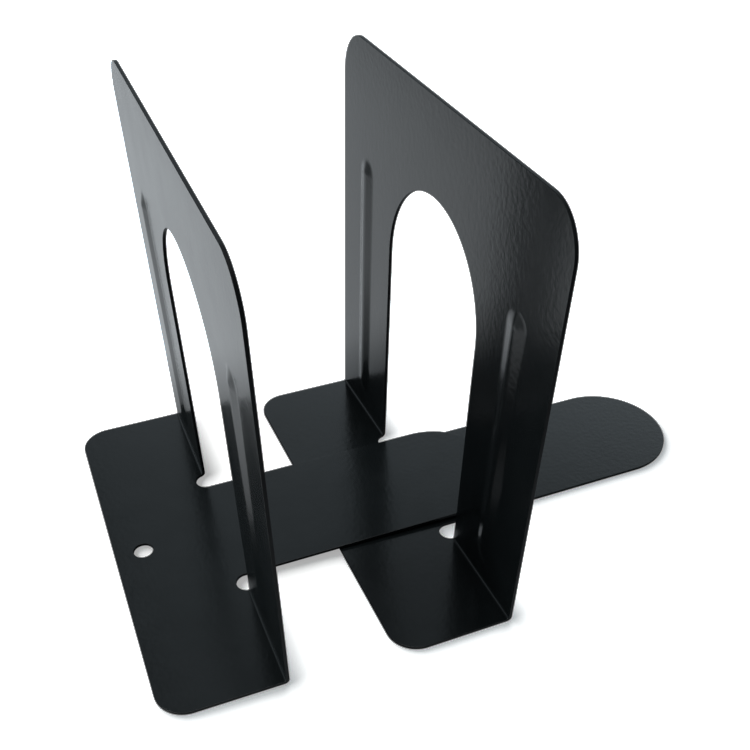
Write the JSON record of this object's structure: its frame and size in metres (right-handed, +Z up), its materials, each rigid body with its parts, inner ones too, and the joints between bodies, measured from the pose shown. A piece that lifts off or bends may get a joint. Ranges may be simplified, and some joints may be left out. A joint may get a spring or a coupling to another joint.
{
  "type": "book ends",
  "caption": "Pair of folded sheet-steel book ends, each an upright with an arched cut-out over a foot and a round-ended tongue.",
  "frame": {"origin": "outer corner of the right book end's fold, on the shelf, midway across its width", "axes": "+X the way both tongues point, +Y to the back, +Z up from the shelf"},
  "size_m": [0.2024, 0.137, 0.1277],
  "materials": {
    "black_enamel": "semi-gloss black enamel with a slight orange peel"
  },
  "bodies": {
    "right": {"right_book_end": "black_enamel"},
    "left": {"left_book_end": "black_enamel"}
  },
  "joints": [
    {"name": "spread", "type": "slide", "parent": "right", "child": "left", "axis": [-1, 0, 0], "range_m": [-0.012, 0.15]}
  ]
}
